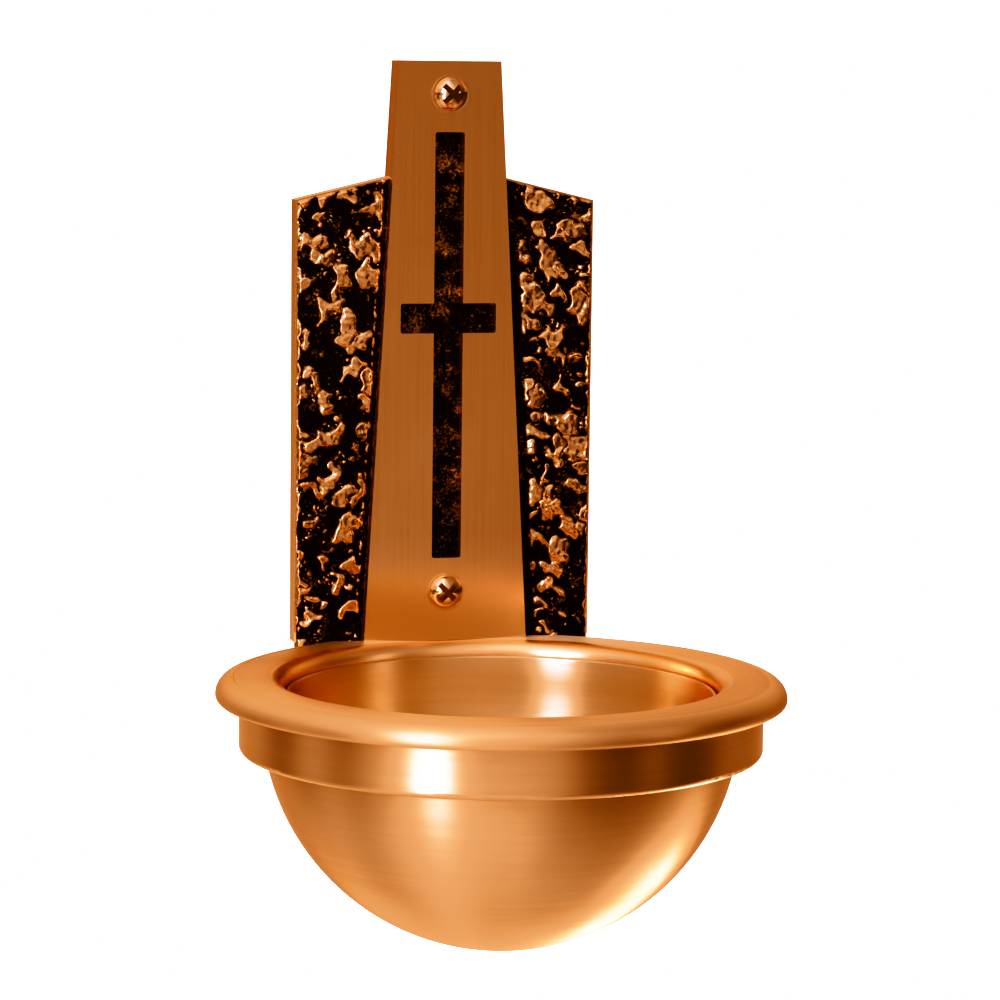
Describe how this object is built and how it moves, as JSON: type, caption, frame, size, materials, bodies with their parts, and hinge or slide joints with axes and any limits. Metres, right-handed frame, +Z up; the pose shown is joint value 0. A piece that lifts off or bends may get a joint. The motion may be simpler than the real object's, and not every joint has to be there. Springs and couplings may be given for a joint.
{
  "type": "wall-hung holy-water font",
  "caption": "Wall-hung bronze holy-water font: textured plate, satin pylon with a cut-out cross, round flanged bowl with a lift-out water cup.",
  "frame": {"origin": "on the axis of the lower mounting screw, where it meets the wall", "axes": "+Z up, +X to the right of a person who faces the font, +Y into the wall, so the font's front faces -Y"},
  "size_m": [0.15, 0.17, 0.232],
  "materials": {
    "cast_bronze": "cast texture, blackened in the hollows and polished copper-brown on the high spots",
    "brushed_bronze": "satin, brushed along its height",
    "turned_bronze": "satin, turned",
    "spun_bronze": "satin, spun with fine rings",
    "polished_screw": "polished",
    "hidden_steel": "plain zinc-plated",
    "soft_rubber": "matt black"
  },
  "bodies": {
    "font": {"back_plate": "cast_bronze", "face_plate": "brushed_bronze", "face_plate_screws": "hidden_steel", "upper_mounting_screw": "polished_screw", "lower_mounting_screw": "polished_screw", "upper_washer": "polished_screw", "lower_washer": "polished_screw", "foot_screws": "hidden_steel", "rim_flange": "turned_bronze", "collar_ring": "turned_bronze", "collar_screws": "hidden_steel", "outer_bowl": "spun_bronze", "cup_rest_ring": "soft_rubber"},
    "cup": {"water_cup": "spun_bronze"}
  },
  "joints": [
    {"name": "cup_lift", "type": "slide", "parent": "font", "child": "cup", "axis": [0, 0, 1], "range_m": [0, 0.075]}
  ]
}
